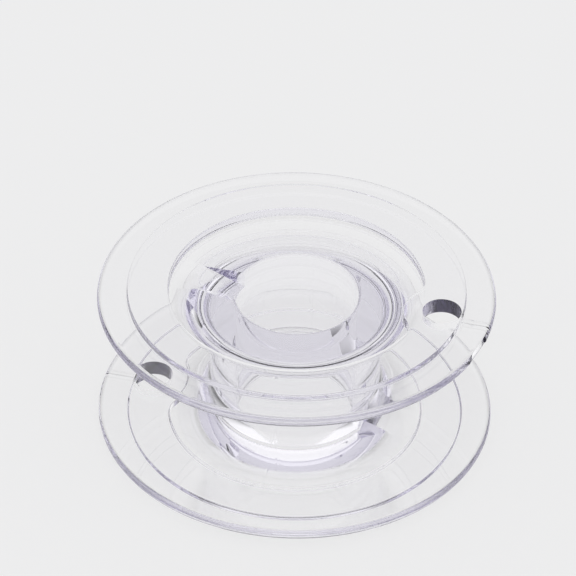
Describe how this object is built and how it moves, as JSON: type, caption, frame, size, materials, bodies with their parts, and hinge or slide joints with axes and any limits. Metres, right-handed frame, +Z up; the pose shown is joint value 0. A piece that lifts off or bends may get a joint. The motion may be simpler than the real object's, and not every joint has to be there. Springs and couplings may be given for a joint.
{
  "type": "sewing machine bobbin",
  "caption": "Clear plastic sewing bobbin: a flared tubular barrel between thin round flanges with a thread hole in each face ring, turning on a spindle through its bore.",
  "frame": {"origin": "on the bore's axis, in the plane of the lower face ring that the bobbin stands on", "axes": "+Z up along the bore's axis, +X towards the upper flange's thread hole"},
  "size_m": [0.0204, 0.0204, 0.0086],
  "materials": {
    "clear_plastic": "clear moulded plastic with a faint violet tint, polished"
  },
  "bodies": {
    "root": {"bobbin": "clear_plastic"}
  },
  "joints": []
}
